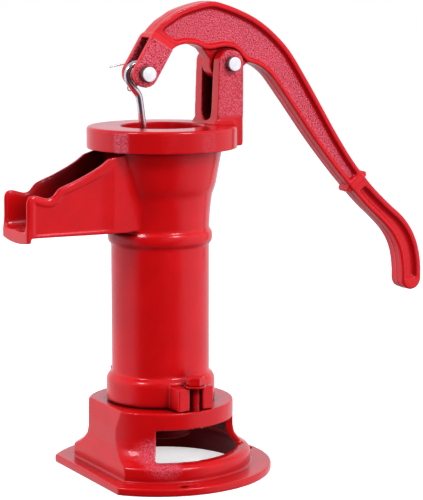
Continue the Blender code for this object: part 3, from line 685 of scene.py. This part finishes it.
def make_body():
    outside = [(0, BODY_TOP), (56.3, BODY_TOP), (56.3, 292.5), (54.8, 288), (49.5, 258.5),
               (46.7, 253), (44.8, 236), (TUBE_R, 221.5), (46.4, 219.3), (47.2, 214.6),
               (46.4, 209.9), (TUBE_R, 207.7), (TUBE_R, 91.5), (47.2, 89.3), (COLLAR_R, 85.5),
               (COLLAR_R, BODY_LOW), (0, BODY_LOW)]
    bore = [(0, 310), (50.3, 310), (50.3, BODY_TOP), (49.4, 287), (44.8, 259), (41.5, 250),
            (39.5, 222), (BORE_R, 203), (BORE_R, 50), (0, 50)]
    outline = [(-22, 291.2), (-52, 291.2)] + SPOUT_TOP
    outline += [(SPOUT_FRONT_X, 219.8), (-137.2, 219.8), (-136.8, SPOUT_UNDER),
                (-22, SPOUT_UNDER - 1.2)]
    channel_half = SPOUT_HALF - SPOUT_WALL
    cross = [(-channel_half, 300), (-channel_half, SPOUT_FLOOR), (channel_half, SPOUT_FLOOR),
             (channel_half, 300)]
    channel = across_y(slab(filleted(cross, 7.0, 6), -160, -36))
    co = vertices_of(channel)
    low = co[:, 2] < 250
    co[low, 2] += np.where(co[low, 0] > -100, 4.0, 0.0)    # the floor slopes to the mouth
    co[co[:, 2] > 290, 2] = 292.2
    set_vertices(channel, co)
    steps = [("UNION", widened(plate(outline, SPOUT_HALF))),
             ("DIFFERENCE", turned(bore)), ("DIFFERENCE", widened(channel))]
    for side in (-1, 1):
        turn = LUG_ANGLE + (0 if side < 0 else 180)
        steps.append(("UNION", spun(block((-17.8, -LUG_OUT, BODY_LOW), (17.8, -40.5, LUG_TOP)),
                                    turn)))
        steps.append(("DIFFERENCE", spun(block((-6.2, -80, 50), (6.2, -53.5, 100)), turn)))
    steps.append(("DIFFERENCE", cylinder((0, 0, 50), (0, 0, BODY_LOW + 2.3), 47.0, 96)))
    solid = combined(turned(filleted(outside, 2.0, 4)), steps)
    rim_band = SPOUT_TOP + [(SPOUT_FRONT_X, 219.8)]
    panel = inset(rim_band, -7.2)[:-2] + [(-134.4, 226.0), (-60, 226.0)]

    def raised_rim(co, normal):
        """Sink the spout's outer panels behind a raised band, and bow the lip's underside."""
        x, y, z = co.T.copy()
        depth = -outline_distance(co[:, [0, 2]], panel)
        outer = (np.abs(y) > spout_half(x) - 1.5) & (x < -50) & (np.abs(normal[:, 1]) > 0.4)
        sink = 1.1 * ramp(depth, -0.8, 1.6) * (1 - ramp(x, -72, -56)) * outer
        co[:, 1] -= np.sign(y) * sink
        lip = (x < -134) & (z < 222.5)
        co[:, 2] -= lip * 2.6 * (1 - (co[:, 1] / SPOUT_HALF) ** 2).clip(0)
        return co

    def root(co):
        """Wide fillets where the spout grows out of the bowl."""
        x, y, z = co.T
        near = 1 - ramp(np.abs(np.hypot(x, y) - 47), 3, 8)
        return near * ramp(-x, 22, 32) * ramp(z, 216, 224)

    def taper(co):
        """One long curve from the bowl down to the tube."""
        x, y, z = co.T
        return (np.hypot(x, y) > TUBE_R - 1) * ramp(z, 226, 240) * (1 - ramp(z, 268, 282))

    mesh = casting(solid, 0.7, 5, soften=[(90, taper), (26, root)], sculpt=raised_rim,
                   ripple=0.18, share=0.22)
    bored = np.zeros(len(mesh.polygons), int)
    for index, face in enumerate(mesh.polygons):
        x, y, z = face.center
        if z < 206 and x * x + y * y < (BORE_R + 1) ** 2:
            bored[index] = 1
    body = piece("body_casting", mesh, "root", [ENAMEL_BODY, IRON],
                 ["pump_body"])
    body.data.polygons.foreach_set("material_index", bored)

    def grain(co, normal):
        """A little sand grain on the bead, the collar and the lugs, and more on the upward-facing
        tops of the spout's rims, where the grain's lighter tone is a painted highlight."""
        x, y, z = co.T
        collar = 1 - ramp(z, 84, 96)
        bead = 1 - ramp(np.abs(z - 214), 5, 10)
        rim_top = (x < -62) & (z > 250) & (np.abs(y) > 17)
        # Painted highlight: upward-facing rim tops get grain, which lightens them.
        rim_top_glint = 0.55 * rim_top * ramp(normal[:, 2], 0.45, 0.8)
        return np.maximum(0.08 * np.maximum(collar, bead), rim_top_glint)

    def inside(co, normal):
        """Painted shade on the bowl's inner wall, and on the spout's channel, growing as it goes
        deeper.
        """
        x, y, z = co.T
        turn = np.hypot(x, y)
        facing_axis = (normal[:, 0] * x + normal[:, 1] * y) / turn.clip(1) < 0.2
        bowl = facing_axis * (1 - ramp(turn, 50.6, 51.4)) * (x > -58) * (z < 302)
        channel = (np.abs(y) < SPOUT_HALF - 3.0) & (z > SPOUT_FLOOR - 1) & (x < -40)
        return 0.92 * np.maximum(bowl, channel * ramp(x, -142, -84))

    paint_map(body, "grain", grain)
    paint_map(body, "inside", inside)
    return body


# ---------------------------------------------------------------- cap and post
def make_cap():
    ring = filleted([(0, CAP_TOP), (CAP_R, CAP_TOP), (CAP_R, CAP_LOW), (0, CAP_LOW)], 3.2, 7)
    lower = [(r, z) for r, z in ring if z > CAP_LOW + 5] + [(CAP_R, CAP_LOW), (0, CAP_LOW)]
    ear = arc(PIVOT, EAR_R, 168, 0, 24)
    outline = [(46.5, CAP_LOW), (46.7, CAP_TOP)] + ear
    outline += [(POST_BACK_X, CAP_LOW + 1.5), (POST_BACK_X - 1.5, CAP_LOW)]
    foot = [(42.5, CAP_TOP - 1), (44.4, CAP_TOP + 1.2), (46.8, CAP_TOP + 4.5),
            (POST_BACK_X, CAP_TOP + 4.5), (POST_BACK_X, CAP_TOP - 1)]
    side_foot = [(-POST_HALF - 4.2, CAP_TOP - 1), (-POST_HALF - 2.4, CAP_TOP + 1.2),
                 (-POST_HALF + 0.5, CAP_TOP + 4.5), (POST_HALF - 0.5, CAP_TOP + 4.5),
                 (POST_HALF + 2.4, CAP_TOP + 1.2), (POST_HALF + 4.2, CAP_TOP - 1)]
    apron = across_y(slab(side_foot, 46.5, 64.0))
    slot_floor = arc((0, SLOT_FLOOR + 9), 9, 180, 360, 17)
    slot_outline = slot_floor + [(SLOT_HALF + 0.8, 400), (-SLOT_HALF - 0.8, 400)]
    slot = across_y(slab(slot_outline, 38, POST_BACK_X - 3.3))
    window_above = block((60, -SLOT_HALF - 0.4, PIVOT[1] - 12), (90, SLOT_HALF + 0.4, 400))
    recess_top = CAP_TOP - CAP_ROOF
    recess = turned([(0, recess_top), (CAP_RECESS_R, recess_top), (CAP_RECESS_R, 280), (0, 280)])
    opening = cylinder((CAP_SHIFT, 0, 280), (CAP_SHIFT, 0, 330), CAP_OPENING_R, 128)
    screw_hole = cylinder(polar(50, SET_SCREW_ANGLE, SET_SCREW_Z),
                          polar(80, SET_SCREW_ANGLE, SET_SCREW_Z), SET_SCREW_R + GAP)
    steps = [("UNION", solid) for solid in (plate(outline, POST_HALF), plate(foot, POST_HALF),
                                            apron)]
    steps += [("DIFFERENCE", solid) for solid in (slot, window_above, recess, opening,
                                                  pin_hole(PIVOT), screw_hole)]
    solid = combined(turned(lower, centre=(CAP_SHIFT, 0)), steps)

    def post_foot(co):
        """Wide fillets round the post's foot and down its sides."""
        x, y, z = co.T
        height = 1 - ramp(np.abs(z - CAP_TOP - 1), 3.5, 8)
        near = (x > 38) & (np.abs(y) < POST_HALF + 9)
        beside = (x > 60) & (np.abs(np.abs(y) - POST_HALF) < 5) & (z < CAP_TOP)
        return np.maximum(height * near, 0.8 * beside)

    mesh = casting(solid, 0.6, 5, soften=[(16, post_foot)], ripple=0.20, share=0.32)
    cap = piece("cap_casting", mesh, "cap", [ENAMEL_CAP], ["pump_cap"])

    def grain(co, normal):
        """Rough on the post's sides and on the ring's rim on both sides of the spout; on the rim
        the grain is real and its lighter tone is a painted highlight.
        """
        x, y, z = co.T
        post = ramp(z, CAP_TOP + 2, CAP_TOP + 10) * ramp(np.abs(normal[:, 1]), 0.6, 0.9)
        rim = (z < CAP_TOP - 2) & (np.hypot(x, y) > 60)
        turn = np.abs(np.degrees(np.arctan2(y, x)))
        grain_and_glint_arc = np.maximum(1 - ramp(np.abs(turn - 148.5), 5, 9),
                               0.5 - 0.5 * ramp(np.abs(turn - 78), 4, 10))
        return np.maximum(0.66 * post, 0.6 * rim * grain_and_glint_arc)

    def inside(co, normal):
        """Painted shade between the post's prongs and under the ring."""
        x, y, z = co.T
        slot_wall = (np.abs(y) < SLOT_HALF + 0.6) & (x > 48) & (x < POST_BACK_X - 1)
        slot_wall &= z > CAP_TOP
        under = (np.hypot(x, y) < CAP_RECESS_R + 0.5) & (z < CAP_TOP - 8)
        return 0.6 * slot_wall * (1 - ramp(z, PIVOT[1] - 14, PIVOT[1])) + 0.7 * under

    paint_map(cap, "grain", grain)
    paint_map(cap, "inside", inside)
    return cap


# ---------------------------------------------------------------- handle
UPPER = smooth([(-13.2, 391.1), (-8.5, 397.4), (-0.5, 404.9), (7.5, 409.7), (15.6, 414.3),
                (31.7, 419.4), (48.0, 422.2), (61.6, 419.4), (78.0, 413.6), (94.7, 405.6),
                (111.5, 393.7), (128.7, 376.9), (146.0, 352.3), (163.8, 324.8), (181.5, 297.1),
                (200.1, 271.1), (220.0, 248.5), (241.2, 229.0), (256.2, 216.5), (266.3, 204.3),
                (272.7, 192.2), (276.3, 180.3), (278.2, 168.0), (278.6, 155.2)])
LOWER = smooth([(6.0, 378.7), (13.3, 383.2), (22.8, 385.0), (32.4, 383.9), (37.5, 381.8),
                (41.3, 380.3), (45.3, 379.8), (49.6, 379.9), (53.4, 380.4), (57.9, 381.0),
                (61.7, 381.2), (65.6, 381.0), (69.5, 380.3), (72.7, 378.8), (75.3, 376.8),
                (77.6, 374.5), (79.8, 371.8), (82.8, 369.0), (86.4, 367.0), (90.9, 365.7),
                (96.5, 363.6), (104.0, 359.0), (112.4, 351.1), (130.0, 328.5), (156.4, 293.9),
                (181.0, 264.5), (197.5, 246.5), (215.1, 228.3), (229.0, 215.9), (241.8, 203.4),
                (250.2, 191.2), (254.6, 179.1), (256.8, 165.0), (257.0, 154.0)])


def along_fork(distance, across):
    """A place on the fork, from the rod pin up towards the arm and to the right."""
    spot = Vector(ROD_PIN) + FORK_DIR * distance + Vector((FORK_DIR.y, -FORK_DIR.x)) * across
    return (spot.x, spot.y)


def fork_plate(top, top_half, bottom, half):
    """A four-sided plate along the fork between two distances from the rod pin."""
    return plate([along_fork(top, top_half), along_fork(bottom, FORK_R),
                  along_fork(bottom, -FORK_R), along_fork(top, -top_half)], half)


def recess_depth(spots, rim, ends):
    """How far spots lie inside the arm's rims and between lines across it. Each line is
    (spot, outward direction, how far along the arm it counts)."""
    depth = -outline_distance(spots, inset(UPPER, rim) + inset(LOWER, -rim)[::-1])
    for spot, outward, reach in ends:
        offset = spots - np.array(spot)
        behind = -offset @ np.array(outward)
        rounded = depth + behind - np.hypot(depth, behind)
        depth = np.where(np.hypot(*offset.T) < reach, rounded, depth)
    return depth


WHOLE_ARM = 900.0
WEB_ENDS = [(along_fork(39.5, 0), -FORK_DIR, 60),
            (BAND_CENTRE - ARM_DIR * 6.0, ARM_DIR, WHOLE_ARM)]
GRIP_ENDS = [(BAND_CENTRE + ARM_DIR * 7.5, -ARM_DIR, WHOLE_ARM),
             ((267.5, 153.0), (0, -1), WHOLE_ARM)]


def below_crest(spots):
    """How far spots lie from the arm's upper edge."""
    return np.abs(outline_distance(spots, UPPER + UPPER[::-1]))


def make_handle():
    grip_end = arc(((UPPER[-1][0] + LOWER[-1][0]) / 2, 154.8), 10.8, -15, -165, 14)
    arm = plate(UPPER + grip_end + LOWER[::-1], HANDLE_HALF)
    fork_arc = arc(ROD_PIN, FORK_R, FORK_LEAN - 90, FORK_LEAN - 270, 24)
    prongs = plate([along_fork(31.5, FORK_R)] + fork_arc + [along_fork(31.5, -FORK_R)], FORK_HALF)
    shoulders = [fork_plate(33.2, FORK_R, 20, FORK_HALF - 0.9),
                 fork_plate(35.0, FORK_R - 0.4, 20, FORK_HALF - 1.8)]
    px, pz = PIVOT
    hub = [(34.5, 389.3), (36.0, 382.8), (40.0, 380.0), (43.7, 375.5)]
    hub += arc(PIVOT, HUB_R, 165, 300, 30)
    hub += [(px + 9.0, pz - 11.7), (px + 14.0, pz - 11.7), (px + 17.5, pz - 6.0),
            (88.4, 368.4), (88.6, 387.1)]
    knobs = []
    for reach in (9.8, -10.2):
        x, z = BAND_CENTRE + Vector((-ARM_DIR.y, ARM_DIR.x)) * reach
        knobs.append(cylinder((x, -8.0, z), (x, 8.0, z), 3.3, 32))
    slot = plate([along_fork(-20, -20), along_fork(-20, 20), along_fork(30, 20),
                  along_fork(30, -20)], FORK_SLOT_HALF)
    added = [prongs, *shoulders, plate(hub, WEB_HALF + 0.5), *knobs]
    cut = [slot, pin_hole(PIVOT), pin_hole(ROD_PIN)]
    solid = combined(arm, [("UNION", part) for part in added]
                     + [("DIFFERENCE", part) for part in cut])

    def sides(co, normal):
        """Sink the webs between the rims, and raise the band's two ribs and the parting line."""
        flat = np.abs(normal[:, 1]) > 0.5
        outer = flat & (np.abs(co[:, 1]) > HANDLE_HALF - 1.2)
        spots = co[:, [0, 2]]
        slope = below_crest(spots)
        web = ramp(recess_depth(spots, RIM, WEB_ENDS), -0.2, 1.8) * ramp(slope, 3.2, 8.5)
        grip = ramp(recess_depth(spots, GRIP_RIM, GRIP_ENDS), -0.4, 2.6) * ramp(slope, 3.6, 10)
        along = (spots - np.array(BAND_CENTRE)) @ np.array(ARM_DIR)
        ribs = 0.55 * np.exp(-((np.abs(along) - 3.2) / 0.75) ** 2)
        co[:, 1] -= np.sign(co[:, 1]) * outer * (WEB_SINK * (web + grip) - ribs)
        edge = (np.abs(normal[:, 1]) < 0.35) & ((co[:, 0] > 86) | (co[:, 2] > 400))
        seam = 0.40 * np.exp(-((co[:, 1] - 0.4) / 0.7) ** 2)
        return co + normal * (edge * seam)[:, None]

    def grip_edges(co):
        """A rounder section towards the grip's end."""
        return ramp(co[:, 0], 205, 235)

    mesh = casting(solid, 0.55, 4, soften=[(16, grip_edges)], sculpt=sides, ripple=0.16,
                   share=0.34)
    handle = piece("handle_casting", mesh, "handle", [ENAMEL_HANDLE],
                   ["handle"])

    def grain(co, normal):
        """Sand grain on the webs and the fork's faces."""
        flat = ramp(np.abs(normal[:, 1]), 0.75, 0.95)
        web_part = ramp(recess_depth(co[:, [0, 2]], RIM, WEB_ENDS), 0.5, 3.0)
        along = (co[:, [0, 2]] - np.array(ROD_PIN)) @ np.array(FORK_DIR)
        fork_part = (along < 31) & (co[:, 0] < 8)
        return 0.10 + flat * np.maximum(0.85 * web_part, 0.8 * fork_part)

    def inside(co, normal):
        """Painted shade in the webs and the grip's recess, along the upper rim."""
        spots = co[:, [0, 2]]
        slope = below_crest(spots)
        sunk = np.abs(co[:, 1]) < HANDLE_HALF - 0.4
        web = (recess_depth(spots, RIM, WEB_ENDS) > 0.2) * (1 - ramp(slope, 5.0, 8.0))
        grip = (recess_depth(spots, GRIP_RIM, GRIP_ENDS) > 0.2) * (1 - ramp(slope, 6.0, 9.5))
        return 0.55 * sunk * np.maximum(web, grip) * (np.abs(normal[:, 1]) > 0.3)

    paint_map(handle, "grain", grain)
    paint_map(handle, "inside", inside)
    return handle


# ---------------------------------------------------------------- pins, rod and bolts
def make_pin(name, spot, half, head_r, body, flip):
    """A headed clevis pin, its head towards -Y, with a bent wire cotter at the far end."""
    x, z = spot
    head = -half - GAP
    length = 2 * half + GAP + 6.8
    profile = filleted([(0, -PIN_HEAD_HEIGHT), (head_r, -PIN_HEAD_HEIGHT), (head_r, 0),
                        (PIN_R, 0), (PIN_R, length), (0, length)], 0.7, 4)
    pin = turned(profile, 64)
    pin.transform(Matrix.Translation((x, head, z)) @ Matrix.Rotation(-pi / 2, 4, "X"))
    middle, up = Vector((x, half + 3.6, z)), Vector((0, 0, 10))
    pin = combined(pin, [("DIFFERENCE", cylinder(middle - up, middle + up, 1.1, 24))])
    headed = piece(name + "_polished", pin, body, [SATIN_ZINC, HEAD_SHADE_STEEL],
                   [name], 35)
    # Painted shade: the side wall of the head is given dark steel.
    edge = [int(face.center.y / MM < head - 0.2 and abs(face.normal.y) < 0.5)
            for face in headed.data.polygons]
    headed.data.polygons.foreach_set("material_index", edge)
    ring = arc((-1.2, -13.6), 2.6, 60, 400, 25)[::-1]
    leg = smooth([(-0.2, -10.6), (0, -6), (0, 0), (0, 4.6), (-1.6, 6.8), (-5.0, 7.4),
                  (-12.0, 6.9), (-21.0, 5.4)])
    path = [middle + flip * Vector((dx, 0, dz)) for dx, dz in ring + leg]
    piece(name + "_cotter_wire", wire(path, COTTER_R, 4), body, [ZINC],
          [name + "_cotter"])


def make_rod():
    foot = Vector((0, 0, ROD_FOOT_Z))
    line = (Vector((-20.2, 0, 340)) - foot).normalized()
    low = foot - line * 15.7
    eye = arc(EYE_CENTRE, EYE_R, 212, -58, 46)
    knee = foot + line * 144.0
    neck = smooth([(knee.x, knee.z), (-20.9, 340.6), (-25.4, 346.6), eye[0]], 6)[:-1]
    shank = [foot + line * reach for reach in range(0, 141, 20)]
    points = [low] + shank + [Vector((x, 0, z)) for x, z in neck + eye]
    piece("rod_wire", wire(points, ROD_R, 10), "rod", [ZINC], ["piston_rod"])


def thread(length, radius, pitch, depth):
    """A screw's outline from its tip up, with a ridge at each pitch."""
    turns = int(length / pitch)
    profile = [(0, 0)]
    for k in range(turns + 1):
        profile += [(radius - depth, k * pitch), (radius, (k + 0.5) * pitch)]
    return profile + [(radius - depth, (turns + 1) * pitch), (0, (turns + 1) * pitch)]


def make_base_bolts():
    """Hexagon bolts and their washers, painted together with the lugs."""
    hole, top = BOLT_R + GAP, LUG_TOP + GAP
    seat = top + WASHER_T + GAP
    for number, side in ((1, -1), (2, 1)):
        x, y = polar(BOLT_RADIUS, side * 90 + LUG_ANGLE)
        washer = filleted([(hole, WASHER_T / 2), (hole, WASHER_T), (WASHER_R, WASHER_T),
                           (WASHER_R, 0), (hole, 0), (hole, WASHER_T / 2)], 0.35, 3)[:-1]
        ring = turned(washer, 64, (x, y))
        ring.transform(Matrix.Translation((0, 0, top)))
        washer_piece = piece("base_washer_%d_painted" % number, ring, "root", [ENAMEL_BOLT],
                             ["base_washer_%d" % number], 40)
        dome = turned(filleted([(0, 7.0), (6.9, 7.0), (9.4, 5.6), (9.4, 0), (0, 0)], 0.9, 4),
                      64, (x, y))
        hexagon = cylinder((x, y, -2), (x, y, 8), 8.35, 6)
        screw = turned(thread(THREAD_LENGTH, BOLT_R, THREAD_PITCH, THREAD_DEPTH), 48, (x, y))
        co = vertices_of(screw)
        angle = np.arctan2(co[:, 1] - y, co[:, 0] - x)
        co[:, 2] += THREAD_PITCH * angle / (2 * pi) - THREAD_LENGTH - 1
        set_vertices(screw, co)
        bolt = combined(combined(dome, [("INTERSECT", hexagon)]), [("UNION", screw)])
        bolt.transform(Matrix.Translation((0, 0, seat)))
        bolt_piece = piece("base_bolt_%d_painted" % number, bolt, "root", [ENAMEL_BOLT],
                           ["base_bolt_%d" % number], 40)
        for obj in (washer_piece, bolt_piece):
            paint_map(obj, "grain", lambda co, normal: 0.05 * np.ones(len(co)))


def make_set_screw():
    """A square-headed screw through the cap's rim."""
    inner, outer, tip = (Vector(polar(reach, SET_SCREW_ANGLE, SET_SCREW_Z))
                         for reach in (56.7, 70.5, 77.5))
    shank = cylinder(inner, outer + (tip - outer) * 0.2, SET_SCREW_R, 48)
    head = cylinder(outer, tip, 5.8, 4)
    piece("set_screw_square", combined(shank, [("UNION", head)]), "cap", [ZINC],
          ["cap_set_screw"], 30)


def finish_inner_parts():
    """The nodes inside the pump keep their CAD shape and get their own finish."""
    finishes = {"base_leather": LEATHER, "foot_valve_flap": LEATHER, "cup_leather": LEATHER,
                "foot_valve_weight": IRON, "plunger_cage": IRON, "plunger_follower": IRON,
                "poppet_valve": IRON, "foot_valve_screw": ZINC, "rod_jam_nut": ZINC,
                "rod_foot_nut": ZINC, "rod_foot_washer": ZINC}
    for name, material in finishes.items():
        node = frame["nodes"][name]
        node.data.materials.clear()
        node.data.materials.append(material)


make_base()
make_body()
make_cap()
make_handle()
make_pin("handle_pin", PIVOT, POST_HALF, 6.2, "cap", -1)
make_pin("rod_pin", ROD_PIN, FORK_HALF, 6.6, "handle", 1)
make_rod()
make_base_bolts()
make_set_screw()
finish_inner_parts()


# ---------------------------------------------------------------- studio
def pale_floor():
    mesh = slab([(-4000, -4000), (4000, -4000), (4000, 4000), (-4000, 4000)], -12.0, -0.05, "Z")
    mesh.transform(TO_ROW)
    floor = new_object("studio_floor", mesh)
    n = Nodes("pale_floor")
    n.link(n.mix(n.noise(3.0), (0.90, 0.90, 0.90), (0.93, 0.93, 0.93)),
           n.shader.inputs["Base Color"])
    n.shader.inputs["Roughness"].default_value = 0.8
    n.shader.inputs["Emission Color"].default_value = (1.0, 1.0, 1.0, 1.0)
    n.shader.inputs["Emission Strength"].default_value = 0.55
    mesh.materials.append(n.material)
    floor.visible_glossy = floor.visible_diffuse = floor.visible_shadow = False
    return floor


def softbox(name, bearing, elevation, distance, width, height, power, colour=(1, 1, 1)):
    """An area light aimed at the pump. The bearing is measured from the camera's side, positive
    to the right."""
    target = Vector((0.0, 0.0, 0.20))
    turn = radians(CAMERA_HEADING - bearing)
    back = Vector((-sin(turn) * cos(radians(elevation)), -cos(turn) * cos(radians(elevation)),
                   sin(radians(elevation))))
    light = bpy.data.lights.new(name, "AREA")
    light.shape = "RECTANGLE"
    light.size, light.size_y = width, height
    light.energy = power
    light.color = colour
    obj = new_object(name, light)
    obj.location = target + back * distance
    obj.rotation_mode = "QUATERNION"
    obj.rotation_quaternion = (-back).to_track_quat("-Z", "Y")
    return obj


CAMERA_HEADING = 28.988     # degrees from +Y towards +X
CAMERA_PITCH = 8.667        # degrees below the horizon
CAMERA_PLACE = (AXIS_X - 0.79602, -1.53206, 0.46391)

camera_data = bpy.data.cameras.new("studio_camera")
camera_data.lens = 139.96
camera_data.sensor_width = 36.0
camera = new_object("studio_camera", camera_data)
camera.location = CAMERA_PLACE
camera.rotation_euler = (radians(90 - CAMERA_PITCH), 0.0, -radians(CAMERA_HEADING))
bpy.context.scene.camera = camera

pale_floor()
softbox("key_left", -50, 42, 2.2, 0.45, 0.45, 14, (0.96, 0.95, 1.0))
softbox("key_right", 42, 42, 2.2, 0.5, 0.5, 24)
for name, bearing, elevation, power in (("front_fill", 26, 13, 26), ("left_fill", -100, 12, 46),
                                        ("right_fill", 85, 12, 16)):
    softbox(name, bearing, elevation, 2.5, 1.7, 1.5, power).visible_glossy = False


def studio_world():
    """White wherever the camera looks. What lights the pump is a white tent with a faint
    lavender cast, open and dark towards the camera."""
    world = bpy.data.worlds.new("studio")
    bpy.context.scene.world = world
    world.use_nodes = True
    tree = world.node_tree
    link = tree.links.new
    backdrop = tree.nodes["Background"]
    backdrop.inputs["Color"].default_value = (1.0, 1.0, 1.0, 1.0)
    tent = tree.nodes.new("ShaderNodeBackground")
    tent.inputs["Color"].default_value = (1.0, 0.95, 1.03, 1.0)
    place = tree.nodes.new("ShaderNodeTexCoord")
    heading = radians(CAMERA_HEADING + 3.0)
    strength = None
    for direction, steps in (((-sin(heading), -cos(heading), 0.0), (0.80, 0.35, 0.04, 0.88)),
                             ((0.0, 0.0, -1.0), (0.30, 0.75, 1.0, 0.20)),
                             ((0.0, 0.0, 1.0), (0.30, 0.80, 1.0, 0.55))):
        along = tree.nodes.new("ShaderNodeVectorMath")
        along.operation = "DOT_PRODUCT"
        along.inputs[1].default_value = direction
        link(place.outputs["Generated"], along.inputs[0])
        fall = tree.nodes.new("ShaderNodeMapRange")
        fall.interpolation_type = "SMOOTHSTEP"
        for key, value in zip(("From Min", "From Max", "To Min", "To Max"), steps):
            fall.inputs[key].default_value = value
        link(along.outputs["Value"], fall.inputs["Value"])
        if strength:
            both = tree.nodes.new("ShaderNodeMath")
            both.operation = "MULTIPLY"
            link(strength, both.inputs[0])
            link(fall.outputs["Result"], both.inputs[1])
            strength = both.outputs["Value"]
        else:
            strength = fall.outputs["Result"]
    link(strength, tent.inputs["Strength"])
    path = tree.nodes.new("ShaderNodeLightPath")
    chosen = tree.nodes.new("ShaderNodeMixShader")
    link(path.outputs["Is Camera Ray"], chosen.inputs[0])
    link(tent.outputs["Background"], chosen.inputs[1])
    link(backdrop.outputs["Background"], chosen.inputs[2])
    link(chosen.outputs["Shader"], tree.nodes["World Output"].inputs["Surface"])


studio_world()
bpy.context.scene.view_settings.view_transform = "Standard"
